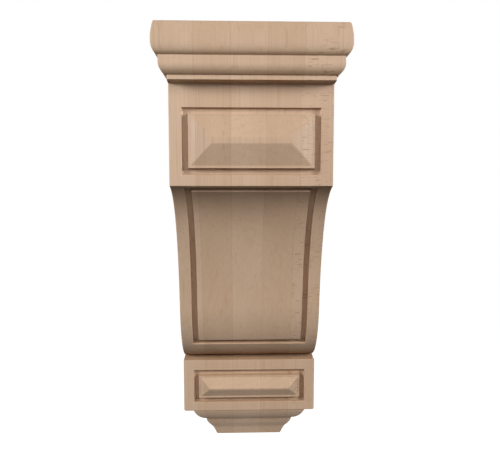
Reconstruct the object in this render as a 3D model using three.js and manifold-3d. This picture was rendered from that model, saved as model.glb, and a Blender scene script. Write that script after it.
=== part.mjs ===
// A carved wooden corbel: a bracket that hangs on a wall and holds up a shelf or a beam end.
// It is one block of wood. Seen from the front it has a moulded crown, an upper block with a raised panel,
// a long sweep that runs back towards the wall and rolls under, a lower block with a smaller panel, and a
// stepped foot. Units are millimetres. Z is up, the wall is the plane Y = 0, the front faces -Y, and the
// origin is at the middle of the flat back.
import * as THREE from "three";
import { mergeVertices } from "three/addons/utils/BufferGeometryUtils.js";
import Module from "manifold-3d";

// Driving dimensions
const HEIGHT = 375.1;
const BODY_WIDTH = 128.5;
const BLOCK_DEPTH = 152.4; // wall to the face of the upper block
const LOWER_DEPTH = 76.2; // wall to the face of the lower block
const CROWN_HEIGHT = 39.6;
const BLOCK_HEIGHT = 78.6;
const LOWER_HEIGHT = 51.2;
const FOOT_HEIGHT = 36.4;

// Crown moulding, as far out from its core and down from the top. The core is flush with the sides of the body.
const CROWN_FORWARD = 12.75; // from the face of the upper block to the face of the core
const CROWN_TOP_OUT = 7.35;
const BULGE_OUT = 9.25;
const BULGE_DROP = 14; // from the top to the widest line
const BULGE_HANDLE_DROP = 21.5; // lower end of the straight that pulls the curve under the bulge
const OVOLO_OUT = 4.75;
const OVOLO_DROP = 23.2;
const OVOLO_STRAIGHT = 5.4;
const OVOLO_HANDLE_DROP = 33.2;
const OVOLO_END_OUT = 0.1;
const FILLET_DROP = 36;
const FILLET_OUT = -0.75; // a little in from the core

// Foot moulding, each point as far in from the sides of the lower block and down from its base
const FOOT_FORWARD = 8.4; // how much less it stands in at the front
const FOOT_STEP = [9.4, 1.2];
const FOOT_OVOLO_HANDLE = [13.2, 10.2];
const FOOT_OVOLO = [20, 13.7];
const FOOT_QUIRK = [20.9, 14.1];
const FOOT_OGEE_HANDLES = [[21.4, 18.8], [24, 21.8]];
const FOOT_WAIST = [26.4, 25.2]; // where the ogee turns from round to hollow
const FOOT_HOLLOW_HANDLES = [[27.9, 27], [29.2, 31.2]];
const FOOT_BOTTOM_IN = 31.3;

// Sweep, each point as far behind the face of the upper block and as high above the lower block
const SWEEP_TOP_HANDLE = [33.3, 159.6];
const SWEEP_HOLLOW_HANDLE = [47.8, 104.2];
const SWEEP_TURN = [52.6, 59.4]; // where the hollow turns into the roll
const SWEEP_ROLL_HANDLE = [54.5, 41.5];
const SWEEP_UNDER_HANDLE = [62, 9.5];
const SWEEP_END = [93, 0];

// Panels and the groove cut round each of them
const GROOVE_WIDTH = 5.1;
const GROOVE_DEPTH = 3.5;
const FRAME_WIDTH = 108.6; // across the outside of the groove on the two blocks
const FRAME_MARGIN = 8.7; // from the groove to the lower edge of the block
const UPPER_FRAME_HEIGHT = 51.8;
const LOWER_FRAME_HEIGHT = 32.4;
const FRAME_CORNER = 1.2;
const PANEL_STEP = 1.5; // the edge of a raised panel above the block's face
const PANEL_BORDER = 2; // from that edge to the foot of the slopes
const UPPER_RISE = 8; // the flat of a raised panel above the block's face
const LOWER_RISE = 7;
const UPPER_FLAT_HEIGHT = 4.4;
const LOWER_FLAT_HEIGHT = 1.4;
const SWEEP_FRAME_WIDTH = 107.4;
const SWEEP_GROOVE_WIDTH = 5.6;
const SWEEP_GROOVE_DEPTH = 4.5;
const SWEEP_MARGIN_TOP = 5.2; // along the curve, from the upper block to the groove
const SWEEP_FRAME_RISE = 20; // height of the groove's lower outer edge above the lower block

// Smoothness of the curves, how near points must be to count as one, and how far a cutter reaches past its cut
const CURVE_STEPS = 8;
const CORNER_STEPS = 3;
const SWEEP_STEPS = 26;
const SEARCH_STEP = 0.001; // a share of the sweep's curve
const WELD = 1e-4;
const OVERCUT = 2;

// Heights of the main lines, with the origin half way up
const TOP = HEIGHT / 2;
const BOTTOM = -HEIGHT / 2;
const CROWN_BASE = TOP - CROWN_HEIGHT;
const BLOCK_BASE = CROWN_BASE - BLOCK_HEIGHT;
const LOWER_BASE = BOTTOM + FOOT_HEIGHT;
const LEDGE = LOWER_BASE + LOWER_HEIGHT; // the top of the lower block
const HALF_WIDTH = BODY_WIDTH / 2;

const MAPLE = new THREE.MeshStandardMaterial({ color: 0xcda882, roughness: 0.62, metalness: 0 });

const wasm = await Module();
wasm.setup();

// A closed three.js geometry as a solid that can be joined and cut.
function solid(geometry) {
  const bare = geometry.index ? geometry.toNonIndexed() : geometry.clone();
  bare.deleteAttribute("normal");
  bare.deleteAttribute("uv");
  const merged = mergeVertices(bare, WELD);
  return new wasm.Manifold(
    new wasm.Mesh({
      numProp: 3,
      vertProperties: merged.attributes.position.array,
      triVerts: new Uint32Array(merged.index.array),
    }),
  );
}

// A solid back as a three.js geometry.
function geometryOf(made) {
  const mesh = made.getMesh();
  const geometry = new THREE.BufferGeometry();
  geometry.setAttribute("position", new THREE.BufferAttribute(mesh.vertProperties, 3));
  geometry.setIndex(new THREE.BufferAttribute(mesh.triVerts, 1));
  geometry.computeVertexNormals();
  return geometry;
}

// A side outline, drawn as distance from the wall and height, stretched across the width.
function acrossWidth(points, width) {
  const geometry = new THREE.ExtrudeGeometry(new THREE.Shape(points), { depth: width, bevelEnabled: false });
  const turn = new THREE.Matrix4().makeBasis(
    new THREE.Vector3(0, -1, 0),
    new THREE.Vector3(0, 0, 1),
    new THREE.Vector3(-1, 0, 0),
  );
  geometry.applyMatrix4(turn);
  geometry.translate(width / 2, 0, 0);
  return solid(geometry);
}

// A front outline, drawn in X and Z, stretched forwards from one distance off the wall to another.
function forwards(shape, from, to, bevel = {}) {
  const geometry = new THREE.ExtrudeGeometry(shape, { depth: to - from, bevelEnabled: false, ...bevel });
  geometry.rotateX(Math.PI / 2);
  geometry.translate(0, -from, 0);
  return solid(geometry);
}

// The crown from its top down, as distance out from the core and height above the crown's base.
function crownProfile() {
  const at = (out, drop) => [out, CROWN_HEIGHT - drop];
  const path = new THREE.Path();
  path.moveTo(...at(CROWN_TOP_OUT, 0));
  path.quadraticCurveTo(...at(BULGE_OUT, BULGE_DROP / 2), ...at(BULGE_OUT, BULGE_DROP));
  path.quadraticCurveTo(...at(BULGE_OUT, BULGE_HANDLE_DROP), ...at(OVOLO_OUT, OVOLO_DROP));
  path.lineTo(...at(OVOLO_OUT, OVOLO_DROP + OVOLO_STRAIGHT));
  path.quadraticCurveTo(...at(OVOLO_OUT, OVOLO_HANDLE_DROP), ...at(OVOLO_END_OUT, FILLET_DROP));
  path.lineTo(...at(FILLET_OUT, FILLET_DROP));
  path.lineTo(...at(FILLET_OUT, CROWN_HEIGHT));
  return path.getPoints(CURVE_STEPS);
}

// The foot below its step, as distance out from the body and height above the block's base, both below 0.
function footProfile() {
  const at = ([inwards, drop]) => [-inwards, -drop];
  const path = new THREE.Path();
  path.moveTo(-FOOT_STEP[0], 0);
  path.lineTo(...at(FOOT_STEP));
  path.quadraticCurveTo(...at(FOOT_OVOLO_HANDLE), ...at(FOOT_OVOLO));
  path.lineTo(...at(FOOT_QUIRK));
  path.bezierCurveTo(...FOOT_OGEE_HANDLES.flatMap(at), ...at(FOOT_WAIST));
  path.bezierCurveTo(...FOOT_HOLLOW_HANDLES.flatMap(at), ...at([FOOT_BOTTOM_IN, FOOT_HEIGHT]));
  return path.getPoints(CURVE_STEPS);
}

// The sweep from the upper block down to the ledge, as distance from the wall and height.
function sweepPath() {
  const at = ([back, rise]) => [BLOCK_DEPTH - back, LEDGE + rise];
  const path = new THREE.Path();
  path.moveTo(BLOCK_DEPTH, BLOCK_BASE);
  path.bezierCurveTo(...at(SWEEP_TOP_HANDLE), ...at(SWEEP_HOLLOW_HANDLE), ...at(SWEEP_TURN));
  path.bezierCurveTo(...at(SWEEP_ROLL_HANDLE), ...at(SWEEP_UNDER_HANDLE), ...at(SWEEP_END));
  return path;
}

// The whole outline seen from the side, without the panels. A flat soffit joins the crown to the upper block.
function sideOutline() {
  const core = BLOCK_DEPTH + CROWN_FORWARD;
  const crown = crownProfile().map((p) => new THREE.Vector2(core + p.x, CROWN_BASE + p.y));
  const soffitEnd = new THREE.Vector2(BLOCK_DEPTH, CROWN_BASE);
  const sweep = sweepPath().getPoints(SWEEP_STEPS);
  const lower = [new THREE.Vector2(LOWER_DEPTH, LEDGE), new THREE.Vector2(LOWER_DEPTH, LOWER_BASE)];
  const footFace = LOWER_DEPTH + FOOT_FORWARD;
  const foot = footProfile().map((p) => new THREE.Vector2(footFace + p.x, LOWER_BASE + p.y));
  const wall = [new THREE.Vector2(0, BOTTOM), new THREE.Vector2(0, TOP)];
  return [...crown, soffitEnd, ...sweep, ...lower, ...foot, ...wall];
}

// The whole outline seen from the front. It runs past the top and bottom, which the side outline sets.
function frontOutline() {
  const crown = crownProfile().map((p) => new THREE.Vector2(HALF_WIDTH + p.x, CROWN_BASE + p.y));
  const foot = footProfile().map((p) => new THREE.Vector2(HALF_WIDTH + p.x, LOWER_BASE + p.y));
  const half = [
    new THREE.Vector2(HALF_WIDTH + CROWN_TOP_OUT, TOP + OVERCUT),
    ...crown,
    new THREE.Vector2(HALF_WIDTH, CROWN_BASE),
    new THREE.Vector2(HALF_WIDTH, LOWER_BASE),
    ...foot,
    new THREE.Vector2(HALF_WIDTH - FOOT_BOTTOM_IN, BOTTOM - OVERCUT),
  ];
  const mirrored = half.map((p) => new THREE.Vector2(-p.x, p.y)).reverse();
  return new THREE.Shape([...half, ...mirrored]);
}

// The plain body. Each outline cuts the other, so its mouldings return round the sides with mitred corners.
function body() {
  const fromSide = acrossWidth(sideOutline(), BODY_WIDTH + 2 * BULGE_OUT + 2 * OVERCUT);
  const fromFront = forwards(frontOutline(), -OVERCUT, BLOCK_DEPTH + CROWN_FORWARD + BULGE_OUT + OVERCUT);
  return fromSide.intersect(fromFront);
}

// A rectangle in the front view, round at its corners, centred on X = 0.
function rectangle(width, height, middle, corner = 0) {
  const outline = new THREE.Shape();
  const x = width / 2 - corner;
  const z = height / 2 - corner;
  outline.moveTo(-x, middle - z - corner);
  outline.lineTo(x, middle - z - corner);
  if (corner) outline.absarc(x, middle - z, corner, -Math.PI / 2, 0);
  outline.lineTo(x + corner, middle + z);
  if (corner) outline.absarc(x, middle + z, corner, 0, Math.PI / 2);
  outline.lineTo(-x, middle + z + corner);
  if (corner) outline.absarc(-x, middle + z, corner, Math.PI / 2, Math.PI);
  outline.lineTo(-x - corner, middle - z);
  if (corner) outline.absarc(-x, middle - z, corner, Math.PI, 1.5 * Math.PI);
  return outline;
}

// The square groove round a flat panel.
function frameGroove(faceDepth, height, middle) {
  const ring = rectangle(FRAME_WIDTH, height, middle, FRAME_CORNER);
  ring.holes.push(rectangle(FRAME_WIDTH - 2 * GROOVE_WIDTH, height - 2 * GROOVE_WIDTH, middle));
  return forwards(ring, faceDepth - GROOVE_DEPTH, faceDepth + OVERCUT, { curveSegments: CORNER_STEPS });
}

// A raised panel: a plinth with a narrow flat border, and on it four slopes that rise to a long flat.
function raisedPanel(faceDepth, frameHeight, flatHeight, rise, middle) {
  const width = FRAME_WIDTH - 2 * GROOVE_WIDTH;
  const height = frameHeight - 2 * GROOVE_WIDTH;
  const slope = (height - 2 * PANEL_BORDER - flatHeight) / 2;
  const flat = rectangle(width - 2 * PANEL_BORDER - 2 * slope, flatHeight, middle);
  const bevel = { bevelEnabled: true, bevelThickness: rise - PANEL_STEP, bevelSize: slope, bevelSegments: 1 };
  const edgeDepth = faceDepth + PANEL_STEP;
  const slopes = forwards(flat, edgeDepth - GROOVE_DEPTH, edgeDepth, bevel);
  const clear = forwards(rectangle(BODY_WIDTH, frameHeight, middle), 0, faceDepth);
  const plinth = forwards(rectangle(width, height, middle), faceDepth - GROOVE_DEPTH / 2, edgeDepth);
  return slopes.subtract(clear).add(plinth);
}

// A strip of the sweep between two places on its curve, from above its surface down to the groove's floor.
function sweepStrip(curve, start, end, width) {
  const outer = [];
  const inner = [];
  for (let i = 0; i <= SWEEP_STEPS; i++) {
    const t = start + ((end - start) * i) / SWEEP_STEPS;
    const point = curve.getPointAt(t);
    const along = curve.getTangentAt(t);
    const out = new THREE.Vector2(-along.y, along.x);
    outer.push(point.clone().addScaledVector(out, OVERCUT / 2));
    inner.unshift(point.clone().addScaledVector(out, -SWEEP_GROOVE_DEPTH));
  }
  return acrossWidth([...outer, ...inner], width);
}

// The groove round the long panel of the sweep, cut square to the curve.
function sweepGroove() {
  const curve = sweepPath();
  const length = curve.getLength();
  const start = SWEEP_MARGIN_TOP / length;
  let end = 1;
  while (curve.getPointAt(end).y < LEDGE + SWEEP_FRAME_RISE) end -= SEARCH_STEP;
  const step = SWEEP_GROOVE_WIDTH / length;
  const outside = sweepStrip(curve, start, end, SWEEP_FRAME_WIDTH);
  const panel = sweepStrip(curve, start + step, end - step, SWEEP_FRAME_WIDTH - 2 * SWEEP_GROOVE_WIDTH);
  return outside.subtract(panel);
}

function corbel() {
  const upperMiddle = BLOCK_BASE + FRAME_MARGIN + UPPER_FRAME_HEIGHT / 2;
  const lowerMiddle = LOWER_BASE + FRAME_MARGIN + LOWER_FRAME_HEIGHT / 2;
  const carved = body()
    .subtract(frameGroove(BLOCK_DEPTH, UPPER_FRAME_HEIGHT, upperMiddle))
    .subtract(frameGroove(LOWER_DEPTH, LOWER_FRAME_HEIGHT, lowerMiddle))
    .subtract(sweepGroove())
    .add(raisedPanel(BLOCK_DEPTH, UPPER_FRAME_HEIGHT, UPPER_FLAT_HEIGHT, UPPER_RISE, upperMiddle))
    .add(raisedPanel(LOWER_DEPTH, LOWER_FRAME_HEIGHT, LOWER_FLAT_HEIGHT, LOWER_RISE, lowerMiddle));
  const mesh = new THREE.Mesh(geometryOf(carved), MAPLE);
  mesh.name = "corbel";
  return mesh;
}

const part = new THREE.Group();
part.add(corbel());

export default part;
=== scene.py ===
import math

import bmesh
import bpy
import numpy as np
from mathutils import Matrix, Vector


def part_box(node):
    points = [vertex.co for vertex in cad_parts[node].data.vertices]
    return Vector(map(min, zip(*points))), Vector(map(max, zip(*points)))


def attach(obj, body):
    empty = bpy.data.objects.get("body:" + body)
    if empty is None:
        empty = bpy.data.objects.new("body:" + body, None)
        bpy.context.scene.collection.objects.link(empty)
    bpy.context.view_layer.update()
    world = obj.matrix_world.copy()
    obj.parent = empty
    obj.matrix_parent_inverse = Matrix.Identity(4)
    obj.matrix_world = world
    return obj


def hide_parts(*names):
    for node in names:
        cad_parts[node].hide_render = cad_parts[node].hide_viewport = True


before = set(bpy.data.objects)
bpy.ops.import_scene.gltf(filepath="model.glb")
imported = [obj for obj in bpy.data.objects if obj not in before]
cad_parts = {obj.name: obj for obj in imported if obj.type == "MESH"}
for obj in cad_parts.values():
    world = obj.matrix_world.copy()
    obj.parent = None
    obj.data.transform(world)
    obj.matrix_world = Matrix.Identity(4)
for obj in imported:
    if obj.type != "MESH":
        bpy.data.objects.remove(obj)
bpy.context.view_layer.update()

# The box of the whole corbel
LOW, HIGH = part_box("corbel")
TOP = HIGH[2]
BOTTOM = LOW[2]

# Driving sizes of the body
BODY_WIDTH = 0.1285
BLOCK_DEPTH = 0.1524
LOWER_DEPTH = 0.0762
CROWN_HEIGHT = 0.0396
BLOCK_HEIGHT = 0.0786
LOWER_HEIGHT = 0.0512
FOOT_HEIGHT = 0.0364

# Heights of the main lines
HALF_WIDTH = BODY_WIDTH / 2
CROWN_BASE = TOP - CROWN_HEIGHT
BLOCK_BASE = CROWN_BASE - BLOCK_HEIGHT
LOWER_BASE = BOTTOM + FOOT_HEIGHT
LEDGE = LOWER_BASE + LOWER_HEIGHT

# Crown moulding on its core: how far it stands out from the core, and how far below the top
CROWN_FORWARD = 0.01275  # the core's face stands this far in front of the upper block's
CROWN_TOP_OUT = 0.00735
CROWN_TOP_WAY = (0.0008, 0.003)  # how the moulding leaves its top edge: out and down
CROWN_TOP_SKIP = 3  # points of the bulge that the rounded top edge takes the place of
BULGE_OUT = 0.00925
BULGE_DROP = 0.014
BULGE_HANDLE_DROP = 0.0215
OVOLO_OUT = 0.00475
OVOLO_DROP = 0.0232
OVOLO_STRAIGHT = 0.0054
OVOLO_HANDLE_DROP = 0.0332
OVOLO_END_OUT = 0.0001
FILLET_DROP = 0.036
FILLET_OUT = -0.00075  # a little in from the core

# Foot moulding: each point as far out from the lower block's sides and up from its base, both below 0
FOOT_FORWARD = 0.0084  # how much less it stands in at the front
FOOT_STEP = (-0.0094, -0.0012)
FOOT_OVOLO_HANDLE = (-0.0132, -0.0102)
FOOT_OVOLO = (-0.020, -0.0137)
FOOT_QUIRK = (-0.0209, -0.0141)
FOOT_OGEE_HANDLES = ((-0.0214, -0.0188), (-0.024, -0.0218))
FOOT_WAIST = (-0.0264, -0.0252)
FOOT_HOLLOW_HANDLES = ((-0.0279, -0.027), (-0.0292, -0.0312))
FOOT_BOTTOM = (-0.0313, -FOOT_HEIGHT)

# Sweep: each point by its distance behind the upper block's face and its height above the lower block
SWEEP_TOP_HANDLE = (0.0333, 0.1596)
SWEEP_HOLLOW_HANDLE = (0.0478, 0.1042)
SWEEP_TURN = (0.0526, 0.0594)
SWEEP_ROLL_HANDLE = (0.0545, 0.0415)
SWEEP_UNDER_HANDLE = (0.062, 0.0095)
SWEEP_END = (0.093, 0)
SWEEP_STEPS = 400  # points on each half of the curve, before its rows are placed
SWEEP_WAY_STEP = 12  # the point that gives the direction in which the sweep leaves the upper block

# Panels and the groove round each of them
GROOVE_WIDTH = 0.0051
GROOVE_DEPTH = 0.0035
FRAME_WIDTH = 0.1086
FRAME_MARGIN = 0.0087
UPPER_FRAME_HEIGHT = 0.0518
LOWER_FRAME_HEIGHT = 0.0324
PANEL_STEP = 0.0015  # the edge of a raised panel above the block's face
PANEL_BORDER = 0.002
UPPER_RISE = 0.008
LOWER_RISE = 0.007
UPPER_FLAT_HEIGHT = 0.0044
LOWER_FLAT_HEIGHT = 0.0014
SWEEP_FRAME_WIDTH = 0.1074
SWEEP_GROOVE_WIDTH = 0.0056
SWEEP_GROOVE_DEPTH = 0.0045
SWEEP_MARGIN_TOP = 0.0052
SWEEP_FRAME_RISE = 0.020

# Sanded edges
ARRIS = 0.0009  # radius of the upright corners
SOFT_ARRIS = 0.0014  # radius of the crown's top edge and the lower block's bottom edge
CRISP_ARRIS = 0.0005  # radius of the edges at the ends of the sweep
GROOVE_ARRIS = 0.00035
GROOVE_DRAFT = 0.0002  # how far a groove's wall leans in
RIDGE_ARRIS = 0.0003  # half the width over which a panel's slope turns into its flat
CRISP_EDGE = 2 * CRISP_ARRIS  # what a face leaves free for the rounded edge next to it
SOFT_EDGE = 1.5 * SOFT_ARRIS

# Section of a groove's wall, in and up: the lip in shares of its radius, the toe from the groove's floor
GROOVE_LIP = ((-1, 0), (-0.3, -0.12), (0.1, -0.5), (0.3, -1.2))
GROOVE_TOE_HEIGHT = 0.0005
GROOVE_TOE = ((0.0006, 0.0001), (0.0009, 0))

# Spacing of the grid
CURVE_STEPS = 14
ARC_STEPS = 5
SLOPE_PITCH = 0.0011
FLAT_PITCH = 0.003
SWEEP_PITCH = 0.0018
PITCH_SLACK = 0.01  # share of a pitch by which a gap may be wider
FRAME_REACH = 0.0012  # how far outside a frame its columns and rows still match
AIM = 0.01  # how far off a point lies that only gives a direction
PLACE_DIGITS = 7
MITRE_DIGITS = 6
WELD = 1e-6
HAIR = 1e-7
SHARP_ANGLE = math.radians(38)

# Camera: where it stands and turns, found from the photograph's lines
CAMERA_PLACE = (-0.0108, -0.5063, 0.06615)
CAMERA_PITCH = math.radians(-4.55)
CAMERA_YAW = math.radians(-1.54)
FOCAL_PIXELS = 450
PICTURE_WIDTH = 500
SENSOR_WIDTH = 36
CLIP_START = 0.01

# Studio: each softbox by azimuth from the front, elevation, power, aim, distance and size
MIDDLE = (0, -0.1, 0)
SOFTBOXES = {
    "key_left": (-62, 19, 7.6, MIDDLE, 1.0, 0.35),
    "key_right": (62, 19, 7.4, MIDDLE, 1.0, 0.35),
    "back": (170, 20, 7.0, MIDDLE, 1.0, 0.35),
    "near": (0, 5, 0.58, (0, -0.1, 0.14), 0.55, 0.2),
}
BOUNCE_PLACE = (0, -0.12, -0.26)  # a small card under the foot that sends light back up
BOUNCE_SIZE = 0.25
BOUNCE_WATTS = 0.079
AMBIENT = 0.02
FLOOR_HEIGHT = -0.8
FLOOR_REACH = 40
FLOOR_COLOUR = (0.8, 0.8, 0.8, 1)
WHITE = (1, 1, 1, 1)

# Wood: the corbel is glued up from upright staves, and the grain runs up it
STAVE_WIDTH = 0.0272
STAVES_START = -0.0705  # outer edge of the first stave
STAVE_COLOURS = [
    (0.655, 0.469, 0.326),
    (0.622, 0.434, 0.293),
    (0.650, 0.459, 0.316),
    (0.614, 0.426, 0.287),
    (0.638, 0.450, 0.311),
]
BOARD_SHIFT = (3.0, 0.04, 5.0)  # how far the pattern may jump from one stave to the next
GLUE_LINE = 0.00035
RING_PITCH = 0.0031
RING_CENTRE = 0.11  # how far the heart of the tree lies outside a stave
HEART_SPREAD = 0.12  # over what width the hearts of the staves are spread
RING_WANDER = 0.011
RING_STRENGTH = 0.5
FAINT_FLECKS = 0.12  # share of the flecks' strength on all staves but the last

# How often each pattern repeats in a metre: across the front, into the depth and up the grain
WANDER_SCALE = (22.0, 22.0, 5.0)
UNEVEN_SCALE = (60.0, 60.0, 9.0)
BROAD_SCALE = (45.0, 45.0, 6.0)
FIBRE_SCALE = (900.0, 900.0, 16.0)
STREAK_SCALE = (420.0, 420.0, 7.0)
FLECK_SCALE = (130.0, 130.0, 950.0)
PATCH_SCALE = (60.0, 60.0, 45.0)

# Between which values each pattern fades in
RING_FADE = (0.35, 0.92)  # the dark late wood of a ring comes slowly
RING_END = (1.0, 0.93)  # and stops at once
UNEVEN_FADE = (0.35, 0.75)
BROAD_FADE = (0.3, 0.7)
FIBRE_FADE = (0.35, 0.75)
STREAK_FADE = (0.58, 0.74)
FLECK_FADE = (0.56, 0.68)
PATCH_FADE = (0.4, 0.56)
END_GRAIN_FADE = (0.45, 1.0)
ROUGHNESS_FADE = (0.3, 0.8)

# What each pattern multiplies the colour by where it is strongest
RING_TINT = (0.92, 0.89, 0.85, 1)
BROAD_TINT = (0.94, 0.92, 0.90, 1)
FIBRE_TINT = (0.945, 0.93, 0.915, 1)
STREAK_TINT = (0.91, 0.875, 0.84, 1)
FLECK_TINT = (0.74, 0.66, 0.57, 1)
END_GRAIN_TINT = (0.80, 0.75, 0.68, 1)
GLUE_TINT = (0.86, 0.82, 0.78, 1)

# Feel of the sanded surface
ROUGHNESS = (0.52, 0.68)
FLECK_RELIEF = 0.5
BUMP_STRENGTH = 0.12
BUMP_DISTANCE = 0.0002


def bezier(*points, steps=CURVE_STEPS):
    """Points along a quadratic or cubic curve, both ends included."""
    points = np.array(points)
    degree = len(points) - 1
    t = np.linspace(0, 1, steps + 1)[:, None]
    return sum(math.comb(degree, i) * (1 - t) ** (degree - i) * t**i * p for i, p in enumerate(points))


def rounded(before, corner, after, radius):
    """An arc that rounds a corner between two straight directions."""
    corner = np.array(corner)
    a = np.array(before) - corner
    b = np.array(after) - corner
    a /= np.linalg.norm(a)
    b /= np.linalg.norm(b)
    half = math.acos(np.clip(a @ b, -1, 1)) / 2
    start = corner + a * radius / math.tan(half)
    end = corner + b * radius / math.tan(half)
    centre = corner + (a + b) / np.linalg.norm(a + b) * radius / math.sin(half)
    turn = np.linspace(0, 1, ARC_STEPS + 1)[:, None]
    sweep = math.pi - 2 * half
    u = start - centre
    v = end - centre
    return list(centre + (np.sin((1 - turn) * sweep) * u + np.sin(turn * sweep) * v) / math.sin(sweep))


def crown_profile():
    """The moulding from its top edge to the fillet: distance out from the core, height above its base."""
    h = CROWN_HEIGHT
    top = (CROWN_TOP_OUT, h)
    below_top = (CROWN_TOP_OUT + CROWN_TOP_WAY[0], h - CROWN_TOP_WAY[1])
    bulge = (BULGE_OUT, h - BULGE_DROP)
    neck = (OVOLO_OUT, h - OVOLO_DROP)
    straight = (OVOLO_OUT, h - OVOLO_DROP - OVOLO_STRAIGHT)
    points = rounded((0, h), top, below_top, SOFT_ARRIS)
    points += list(bezier(top, (BULGE_OUT, h - BULGE_DROP / 2), bulge)[CROWN_TOP_SKIP:])
    points += list(bezier(bulge, (BULGE_OUT, h - BULGE_HANDLE_DROP), neck)[1:])
    points += list(bezier(straight, (OVOLO_OUT, h - OVOLO_HANDLE_DROP), (OVOLO_END_OUT, h - FILLET_DROP)))
    points.append((FILLET_OUT, h - FILLET_DROP))
    return np.array(points)


def foot_profile():
    """The foot from the lower block's bottom edge down: distance out and height above the block's base."""
    step_out = FOOT_STEP[0]
    points = rounded((0, AIM), (0, 0), (step_out, 0), SOFT_ARRIS)
    points.append((step_out, 0))
    points += list(bezier(FOOT_STEP, FOOT_OVOLO_HANDLE, FOOT_OVOLO))
    points += list(bezier(FOOT_QUIRK, *FOOT_OGEE_HANDLES, FOOT_WAIST))
    points += list(bezier(FOOT_WAIST, *FOOT_HOLLOW_HANDLES, FOOT_BOTTOM)[1:-1])
    under = (FOOT_BOTTOM[0] - AIM, FOOT_BOTTOM[1])
    points += rounded(FOOT_HOLLOW_HANDLES[1], FOOT_BOTTOM, under, ARRIS)
    return np.array(points)


def sweep_curve():
    """The sweep down to the ledge, as distance from the wall and height, with its arc length."""
    start = (0, BLOCK_BASE - LEDGE)
    upper = bezier(start, SWEEP_TOP_HANDLE, SWEEP_HOLLOW_HANDLE, SWEEP_TURN, steps=SWEEP_STEPS)
    lower = bezier(SWEEP_TURN, SWEEP_ROLL_HANDLE, SWEEP_UNDER_HANDLE, SWEEP_END, steps=SWEEP_STEPS)
    curve = np.vstack([upper, lower[1:]]) * (-1, 1) + (BLOCK_DEPTH, LEDGE)
    length = np.concatenate([[0], np.cumsum(np.linalg.norm(np.diff(curve, axis=0), axis=1))])
    return curve, length


def groove_section(width, floor):
    """How deep the carving is at each distance in from a groove's outer edge."""
    lip = np.array(GROOVE_LIP) * GROOVE_ARRIS
    wall_end = (lip[-1, 0] + GROOVE_DRAFT, GROOVE_TOE_HEIGHT - floor)
    toe = np.array(GROOVE_TOE) - (0, floor)
    near = np.vstack([lip, wall_end, toe])
    far = near[::-1] * (-1, 1) + (width, 0)
    return np.vstack([near, far])


def panel_section(frame_height, flat_height, rise):
    """The groove, the panel's edge and border, then its slopes, by distance in from the groove's edge."""
    groove = groove_section(GROOVE_WIDTH, GROOVE_DEPTH)
    middle = len(groove) // 2
    wall = groove[middle:].copy()
    share = (wall[:, 1] + GROOVE_DEPTH) / GROOVE_DEPTH
    wall[:, 1] = share * (GROOVE_DEPTH + PANEL_STEP) - GROOVE_DEPTH
    slope_start = GROOVE_WIDTH + PANEL_BORDER
    slope_end = (frame_height - flat_height) / 2
    grade = (rise - PANEL_STEP) / (slope_end - slope_start)
    field = np.array([
        (slope_start, PANEL_STEP),
        (slope_end - RIDGE_ARRIS, rise - RIDGE_ARRIS * grade),
        (slope_end + RIDGE_ARRIS, rise),
        (HALF_WIDTH, rise),
    ])
    return np.vstack([groove[:middle], wall, field])


def in_order(places):
    """The places sorted, each of them once."""
    return np.unique(np.round(places, PLACE_DIGITS))


def spread(values, pitch):
    """The values in order, with more between those that lie further apart than the pitch."""
    values = in_order(values)
    out = [values[:1]]
    for a, b in zip(values, values[1:]):
        count = max(1, math.ceil((b - a) / pitch - PITCH_SLACK))
        out.append(np.linspace(a, b, count + 1)[1:])
    return np.concatenate(out)


def columns():
    """Places across the front, on one half, where the grid has a column."""
    slope_end = (UPPER_FRAME_HEIGHT - UPPER_FLAT_HEIGHT) / 2
    slopes = spread(
        np.concatenate([
            FRAME_WIDTH / 2 - UPPER_SECTION[:-1, 0],
            FRAME_WIDTH / 2 - LOWER_SECTION[:-1, 0],
            SWEEP_FRAME_WIDTH / 2 - SWEEP_SECTION[:-1, 0],
        ]),
        SLOPE_PITCH,
    )
    middle = spread([0, FRAME_WIDTH / 2 - slope_end - RIDGE_ARRIS], FLAT_PITCH)
    outer = spread([slopes[-1], HALF_WIDTH - ARRIS], SLOPE_PITCH)
    return in_order(np.concatenate([middle, slopes, outer]))


# Sections of the carving, and the columns of the grid that they ask for
UPPER_SECTION = panel_section(UPPER_FRAME_HEIGHT, UPPER_FLAT_HEIGHT, UPPER_RISE)
LOWER_SECTION = panel_section(LOWER_FRAME_HEIGHT, LOWER_FLAT_HEIGHT, LOWER_RISE)
SWEEP_GROOVE = groove_section(SWEEP_GROOVE_WIDTH, SWEEP_GROOVE_DEPTH)
SWEEP_SECTION = np.vstack([SWEEP_GROOVE, [(HALF_WIDTH, 0)]])
COLUMNS = columns()


def insets(frame_width, reach):
    """Distances in from a frame's edge at which both its columns and its rows lie, so that mitres meet."""
    t = frame_width / 2 - COLUMNS
    return np.sort(t[(t > -FRAME_REACH) & (t < reach + HAIR)])


def plain_row(out, depth, height):
    """A row with nothing carved in it: distance out at the sides, distance from the wall and height."""
    return out, depth, height, (1, 0), None, None, 0


def crown_rows():
    """The moulding returns round the sides, and below it the fillet ends in a flat soffit."""
    core = BLOCK_DEPTH + CROWN_FORWARD
    face = core + FILLET_OUT
    moulding = [plain_row(out, core + out, CROWN_BASE + up) for out, up in crown_profile()]
    fillet = rounded((face, TOP), (face, CROWN_BASE), (0, CROWN_BASE), GROOVE_ARRIS)
    return moulding + [plain_row(FILLET_OUT, depth, z) for depth, z in fillet]


def foot_rows():
    """The foot stands in less at the front than at the sides, so its step there is shallow."""
    front_share = (FOOT_STEP[0] + FOOT_FORWARD) / FOOT_STEP[0]
    rows = []
    for out, up in foot_profile():
        front = out * front_share if up >= 0 else out + FOOT_FORWARD
        rows.append(plain_row(out, LOWER_DEPTH + front, LOWER_BASE + up))
    return rows


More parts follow.
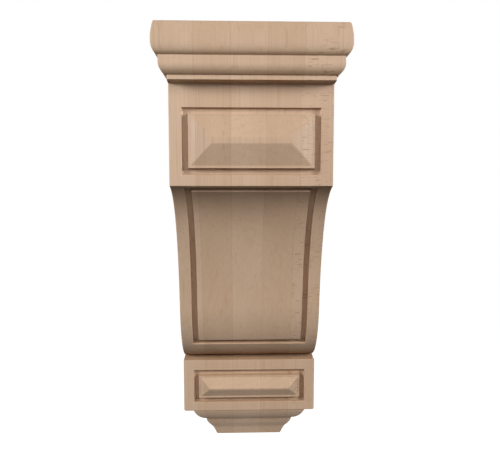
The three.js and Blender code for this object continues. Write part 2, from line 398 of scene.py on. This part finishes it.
def panel_rows(face_top, face_bottom, frame_height, frame_bottom, depth, section):
    """Rows of a flat face with a panel, top down, each with its way out and its distance into the frame."""
    t = insets(FRAME_WIDTH, frame_height / 2)
    heights = in_order(np.concatenate([
        spread([frame_bottom + frame_height - t.min(), face_top], FLAT_PITCH),
        frame_bottom + frame_height - t,
        frame_bottom + t,
        spread([face_bottom, frame_bottom + t.min()], FLAT_PITCH),
    ]))[::-1]
    middle = frame_bottom + frame_height / 2
    inset = frame_height / 2 - abs(heights - middle)
    return [(0, depth, z, (1, 0), i, section, FRAME_WIDTH) for z, i in zip(heights, inset)]


def sweep_rows():
    """Rows down the sweep, spaced along the curve."""
    curve, length = sweep_curve()
    end_rise = LEDGE + SWEEP_FRAME_RISE
    frame_end = length[np.argmax(curve[:, 1] < end_rise)]
    t = insets(SWEEP_FRAME_WIDTH, SWEEP_GROOVE_WIDTH + GROOVE_ARRIS)
    above = (BLOCK_DEPTH, BLOCK_BASE + AIM)
    start = rounded(above, (BLOCK_DEPTH, BLOCK_BASE), curve[SWEEP_WAY_STEP], CRISP_ARRIS)
    first = np.linalg.norm(np.array(start[-1]) - curve[0])
    places = in_order(np.concatenate([
        spread([first, SWEEP_MARGIN_TOP + t.min()], SWEEP_PITCH),
        SWEEP_MARGIN_TOP + t,
        spread([SWEEP_MARGIN_TOP + t.max(), frame_end - t.max()], SWEEP_PITCH),
        frame_end - t,
        spread([frame_end - t.min(), length[-1]], SWEEP_PITCH),
    ]))[1:]
    depth = np.interp(places, length, curve[:, 0])
    height = np.interp(places, length, curve[:, 1])
    along = np.gradient(curve, length, axis=0)
    way = np.stack([np.interp(places, length, -along[:, 1]), np.interp(places, length, along[:, 0])], axis=1)
    way /= np.linalg.norm(way, axis=1)[:, None]
    inset = np.minimum(places - SWEEP_MARGIN_TOP, frame_end - places)
    rows = [plain_row(0, d, z) for d, z in start]
    for d, z, w, i in zip(depth, height, way, inset):
        rows.append((0, d, z, tuple(w), i, SWEEP_SECTION, SWEEP_FRAME_WIDTH))
    return rows


def ledge_rows():
    """The top of the lower block, from the roll's end to its rounded front edge."""
    back = BLOCK_DEPTH - SWEEP_END[0]
    front = rounded((back, LEDGE), (LOWER_DEPTH, LEDGE), (LOWER_DEPTH, LEDGE - AIM), CRISP_ARRIS)
    points = [(d, LEDGE) for d in spread([back, front[0][0]], SWEEP_PITCH)[1:-1]] + front
    return [plain_row(0, d, z) for d, z in points]


def body_rows():
    """Every row of the front, from the crown's top edge to the foot's bottom, and those with flat sides."""
    upper_face = (CROWN_BASE, BLOCK_BASE + CRISP_EDGE)
    lower_face = (LEDGE - CRISP_EDGE, LOWER_BASE + SOFT_EDGE)
    upper_frame = (UPPER_FRAME_HEIGHT, BLOCK_BASE + FRAME_MARGIN)
    lower_frame = (LOWER_FRAME_HEIGHT, LOWER_BASE + FRAME_MARGIN)
    upper = panel_rows(*upper_face, *upper_frame, BLOCK_DEPTH, UPPER_SECTION)
    lower = panel_rows(*lower_face, *lower_frame, LOWER_DEPTH, LOWER_SECTION)
    foot = foot_rows()
    rows = crown_rows() + upper + sweep_rows() + ledge_rows() + lower + foot
    fillet_top = len(crown_profile()) - 1
    flat_sides = range(fillet_top, len(rows) - len(foot) + 1)
    return rows, flat_sides


def section_points(row):
    """One row of points round the body, from the wall on the +X side across the front to the -X side."""
    out, depth, height, way, inset, section, frame_width = row
    half = HALF_WIDTH + out
    turn = np.linspace(0, math.pi / 2, ARC_STEPS + 1)[:-1]
    arc = [(half - ARRIS * (1 - math.cos(a)), depth - ARRIS * (1 - math.sin(a)), height) for a in turn]
    stretch = (half - ARRIS) / (HALF_WIDTH - ARRIS)
    front = []
    for x in COLUMNS[::-1]:
        carved = 0
        if section is not None:
            t = min(inset, frame_width / 2 - x)
            carved = np.interp(t, section[:, 0], section[:, 1], left=0)
        front.append((x * stretch, depth + way[0] * carved, height + way[1] * carved))
    right = [(half, 0, height)] + arc + front
    left = [(-x, d, z) for x, d, z in right[::-1][1:]]
    return [(x, -d, z) for x, d, z in right + left]


def frame_signs(rows):
    """For each grid point, which side of a frame's mitre it lies on: 0 on the mitre itself."""
    across = ARC_STEPS + 1
    count = len(COLUMNS)
    signs = np.ones((len(rows), 2 * (across + count) - 1), int)
    for k, (_, _, _, _, inset, section, frame_width) in enumerate(rows):
        if section is None:
            continue
        difference = np.round((frame_width / 2 - COLUMNS[::-1]) - inset, MITRE_DIGITS)
        half = np.sign(difference).astype(int)
        signs[k, across : across + count] = half
        signs[k, across + count - 1 : across + 2 * count - 1] = half[::-1]
    return signs


def add_cell(mesh, corners, signs):
    """A cell of the grid: one quad, or two triangles that meet on the mitre if it crosses the cell."""
    a, b, c, d = corners
    if signs[0] == 0 and signs[2] == 0:
        mesh.faces.new([a, b, c])
        mesh.faces.new([c, d, a])
    elif signs[1] == 0 and signs[3] == 0:
        mesh.faces.new([b, c, d])
        mesh.faces.new([d, a, b])
    else:
        mesh.faces.new(corners)


def corbel_mesh():
    """The carved body as one closed mesh."""
    rows, flat_sides = body_rows()
    mesh = bmesh.new()
    grid = [[mesh.verts.new(p) for p in section_points(row)] for row in rows]
    last = len(grid[0]) - 1
    side_of = frame_signs(rows)
    for k in range(len(grid) - 1):
        flat = k in flat_sides and k + 1 in flat_sides
        for j in range(1 if flat else 0, last - 1 if flat else last):
            around = [(k, j), (k + 1, j), (k + 1, j + 1), (k, j + 1)]
            add_cell(mesh, [grid[m][n] for m, n in around], [side_of[m][n] for m, n in around])

    # Each flat side, the back, the top and the bottom are one face
    first = flat_sides[0]
    final = flat_sides[-1]
    mesh.faces.new([grid[first][0], grid[final][0]] + [grid[k][1] for k in reversed(flat_sides)])
    mesh.faces.new([grid[first][last], grid[final][last]] + [grid[k][last - 1] for k in reversed(flat_sides)])
    kept = [k for k in range(len(grid)) if k not in flat_sides[1:-1]]
    mesh.faces.new([grid[k][0] for k in kept] + [grid[k][last] for k in reversed(kept)])
    mesh.faces.new(grid[0])
    mesh.faces.new(grid[-1])

    loose = [v for v in mesh.verts if not v.link_faces]
    bmesh.ops.delete(mesh, geom=loose, context="VERTS")
    bmesh.ops.remove_doubles(mesh, verts=mesh.verts, dist=WELD)
    bmesh.ops.recalc_face_normals(mesh, faces=mesh.faces)
    return mesh


def corbel():
    """The carved body as an object, smooth but for its real edges."""
    data = bpy.data.meshes.new("carved_corbel")
    mesh = corbel_mesh()
    mesh.to_mesh(data)
    mesh.free()
    data.shade_smooth()
    data.set_sharp_from_angle(angle=SHARP_ANGLE)
    made = bpy.data.objects.new("carved_corbel", data)
    bpy.context.scene.collection.objects.link(made)
    normals = made.modifiers.new("normals", "WEIGHTED_NORMAL")
    normals.keep_sharp = True
    return made


class Wiring:
    """Adds nodes to a material and joins them."""

    def __init__(self, tree):
        self.tree = tree

    def node(self, kind, inputs=None, **settings):
        made = self.tree.nodes.new("ShaderNode" + kind)
        for name, value in settings.items():
            setattr(made, name, value)
        for key, value in (inputs or {}).items():
            if isinstance(value, bpy.types.NodeSocket):
                self.tree.links.new(value, made.inputs[key])
            else:
                made.inputs[key].default_value = value
        return made

    def math(self, operation, *values):
        return self.node("Math", dict(enumerate(values)), operation=operation).outputs[0]

    def vector(self, operation, a, b):
        return self.node("VectorMath", {0: a, 1: b}, operation=operation).outputs[0]

    def noise(self, place, scale, detail=2.0, roughness=0.5, distortion=0.0):
        inputs = {"Vector": self.vector("MULTIPLY", place, scale), "Scale": 1.0}
        inputs.update({"Detail": detail, "Roughness": roughness, "Distortion": distortion})
        return self.node("TexNoise", inputs).outputs["Fac"]

    def span(self, value, low, high, to_low=0.0, to_high=1.0):
        """The value read between two limits, smoothly, as a number between two others."""
        inputs = {"Value": value, "From Min": low, "From Max": high, "To Min": to_low, "To Max": to_high}
        return self.node("MapRange", inputs, interpolation_type="SMOOTHSTEP").outputs["Result"]

    def shade(self, colour, amount, tint):
        """The colour multiplied by a tint, as far as the amount says."""
        inputs = {"Factor": amount, "A": colour, "B": tint}
        return self.node("Mix", inputs, data_type="RGBA", blend_type="MULTIPLY").outputs["Result"]


def stave_colour(w, stave):
    """The plain colour of each stave, by its number."""
    count = len(STAVE_COLOURS)
    ramp = w.node("ValToRGB", {0: w.math("DIVIDE", w.math("ADD", stave, 0.5), float(count))})
    stops = ramp.color_ramp.elements
    ramp.color_ramp.interpolation = "CONSTANT"
    for i, colour in enumerate(STAVE_COLOURS):
        stop = stops[0] if i == 0 else stops.new(i / count)
        stop.position = i / count
        stop.color = (*colour, 1)
    stops.remove(stops[-1])
    return ramp.outputs["Color"]


def late_wood(w, place, board, random):
    """How far each point lies in the dark part of its year ring."""
    wander = w.noise(board, WANDER_SCALE, detail=3.0)
    shift = w.vector("MULTIPLY", random, (HEART_SPREAD, 0.0, 0.0))
    heart = w.vector("SUBTRACT", shift, (HEART_SPREAD / 2, RING_CENTRE, 0.0))
    from_heart = w.vector("MULTIPLY", w.vector("ADD", place, heart), (1.0, 1.0, 0.0))
    radius = w.node("VectorMath", {0: from_heart}, operation="LENGTH").outputs["Value"]
    radius = w.math("ADD", radius, w.math("MULTIPLY", wander, RING_WANDER))
    phase = w.math("FRACT", w.math("DIVIDE", radius, RING_PITCH))
    return w.math("MULTIPLY", w.span(phase, *RING_FADE), w.span(phase, *RING_END))


def maple():
    """Sanded bare maple: staves of slightly different tone, with rings, fibres, flecks and glue lines."""
    material = bpy.data.materials.new("maple")
    material.use_nodes = True
    w = Wiring(material.node_tree)
    shader = material.node_tree.nodes["Principled BSDF"]
    place = w.node("TexCoord").outputs["Object"]
    x = w.node("SeparateXYZ", {0: place}).outputs["X"]
    across = w.math("DIVIDE", w.math("SUBTRACT", x, STAVES_START), STAVE_WIDTH)
    last = len(STAVE_COLOURS) - 1.0
    stave = w.math("MINIMUM", w.math("MAXIMUM", w.math("FLOOR", across), 0.0), last)
    colour = stave_colour(w, stave)

    # Each stave comes from another board, so the pattern jumps at the glue lines
    random = w.node("TexWhiteNoise", {"W": stave}, noise_dimensions="1D").outputs["Color"]
    board = w.vector("ADD", place, w.vector("MULTIPLY", random, BOARD_SHIFT))
    late = late_wood(w, place, board, random)
    uneven = w.span(w.noise(board, UNEVEN_SCALE), *UNEVEN_FADE, 0.0, RING_STRENGTH)
    colour = w.shade(colour, w.math("MULTIPLY", late, uneven), RING_TINT)

    # Broad cloudy tone, fine fibres and darker streaks all run up the grain
    broad = w.noise(board, BROAD_SCALE, detail=3.0)
    colour = w.shade(colour, w.span(broad, *BROAD_FADE), BROAD_TINT)
    fibres = w.noise(board, FIBRE_SCALE, roughness=0.6)
    colour = w.shade(colour, w.span(fibres, *FIBRE_FADE), FIBRE_TINT)
    streaks = w.noise(board, STREAK_SCALE)
    colour = w.shade(colour, w.span(streaks, *STREAK_FADE), STREAK_TINT)

    # Ray flecks lie across the grain, and show most on the last stave
    flecks = w.noise(board, FLECK_SCALE, distortion=0.6)
    patches = w.noise(board, PATCH_SCALE)
    strength = w.span(stave, last - 1.0, last, FAINT_FLECKS, 1.0)
    marks = w.math("MULTIPLY", w.span(flecks, *FLECK_FADE), w.span(patches, *PATCH_FADE))
    colour = w.shade(colour, w.math("MULTIPLY", marks, strength), FLECK_TINT)

    # Ends of the grain drink in more light than its sides
    normal = w.node("NewGeometry").outputs["Normal"]
    facing_up = w.math("ABSOLUTE", w.node("SeparateXYZ", {0: normal}).outputs["Z"])
    colour = w.shade(colour, w.span(facing_up, *END_GRAIN_FADE), END_GRAIN_TINT)

    # Glue lines between the staves
    edge = w.math("ABSOLUTE", w.math("SUBTRACT", w.math("FRACT", across), 0.5))
    joint = w.span(edge, 0.5 - GLUE_LINE / STAVE_WIDTH, 0.5)
    colour = w.shade(colour, joint, GLUE_TINT)
    w.tree.links.new(colour, shader.inputs["Base Color"])

    # The surface is a little rougher and higher where the fibres are
    w.tree.links.new(w.span(fibres, *ROUGHNESS_FADE, *ROUGHNESS), shader.inputs["Roughness"])
    relief = w.math("SUBTRACT", fibres, w.math("MULTIPLY", marks, FLECK_RELIEF))
    bump = w.node("Bump", {"Strength": BUMP_STRENGTH, "Distance": BUMP_DISTANCE, "Height": relief})
    w.tree.links.new(bump.outputs["Normal"], shader.inputs["Normal"])
    return material


def camera():
    """The camera that took the photograph, as far as its lines tell."""
    data = bpy.data.cameras.new("camera")
    data.sensor_fit = "HORIZONTAL"
    data.sensor_width = SENSOR_WIDTH
    data.lens = SENSOR_WIDTH * FOCAL_PIXELS / PICTURE_WIDTH
    data.clip_start = CLIP_START
    made = bpy.data.objects.new("camera", data)
    made.location = CAMERA_PLACE
    made.rotation_euler = (math.pi / 2 + CAMERA_PITCH, 0, CAMERA_YAW)
    bpy.context.scene.collection.objects.link(made)
    bpy.context.scene.camera = made


def disc_light(name, place, way, size, watts):
    """A round soft light that shines one way."""
    data = bpy.data.lights.new(name, "AREA")
    data.shape = "DISK"
    data.size = size
    data.energy = watts
    made = bpy.data.objects.new(name, data)
    made.location = place
    made.rotation_euler = way.to_track_quat("-Z", "Y").to_euler()
    made.visible_camera = False
    bpy.context.scene.collection.objects.link(made)


def softbox(name, azimuth, elevation, watts, aim, distance, size):
    """A softbox that points at its aim from one side, both angles in degrees."""
    turn = math.radians(azimuth)
    rise = math.radians(elevation)
    level = math.cos(rise)
    away = Vector((math.sin(turn) * level, -math.cos(turn) * level, math.sin(rise)))
    disc_light(name, Vector(aim) + away * distance, -away, size, watts)


def white_world():
    """A studio that is white to the eye and gives the object only a dim, even light."""
    world = bpy.data.worlds.new("studio")
    world.use_nodes = True
    bpy.context.scene.world = world
    nodes = world.node_tree.nodes
    links = world.node_tree.links
    background = nodes["Background"]
    background.inputs["Color"].default_value = WHITE
    path = nodes.new("ShaderNodeLightPath")
    strength = nodes.new("ShaderNodeMapRange")
    strength.inputs["To Min"].default_value = AMBIENT
    strength.inputs["To Max"].default_value = 1
    links.new(path.outputs["Is Camera Ray"], strength.inputs["Value"])
    links.new(strength.outputs["Result"], background.inputs["Strength"])


def floor():
    """A plain white floor below the hanging corbel."""
    mesh = bpy.data.meshes.new("floor")
    made = bpy.data.objects.new("floor", mesh)
    grid = bmesh.new()
    bmesh.ops.create_grid(grid, x_segments=1, y_segments=1, size=FLOOR_REACH)
    grid.to_mesh(mesh)
    grid.free()
    made.location = (0, 0, FLOOR_HEIGHT)
    material = bpy.data.materials.new("floor_white")
    material.use_nodes = True
    shader = material.node_tree.nodes["Principled BSDF"]
    shader.inputs["Base Color"].default_value = FLOOR_COLOUR
    shader.inputs["Emission Color"].default_value = WHITE
    shader.inputs["Emission Strength"].default_value = 1
    mesh.materials.append(material)
    made.visible_diffuse = False
    made.visible_glossy = False
    made.visible_shadow = False
    bpy.context.scene.collection.objects.link(made)


def studio():
    """The white ground, the floor and the lights."""
    white_world()
    floor()
    for name, settings in SOFTBOXES.items():
        softbox(name, *settings)
    disc_light("bounce", BOUNCE_PLACE, Vector((0, 0, 1)), BOUNCE_SIZE, BOUNCE_WATTS)
    bpy.context.scene.view_settings.view_transform = "Standard"


camera()
piece = corbel()
piece.data.materials.append(maple())
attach(piece, "root")
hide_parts("corbel")
studio()
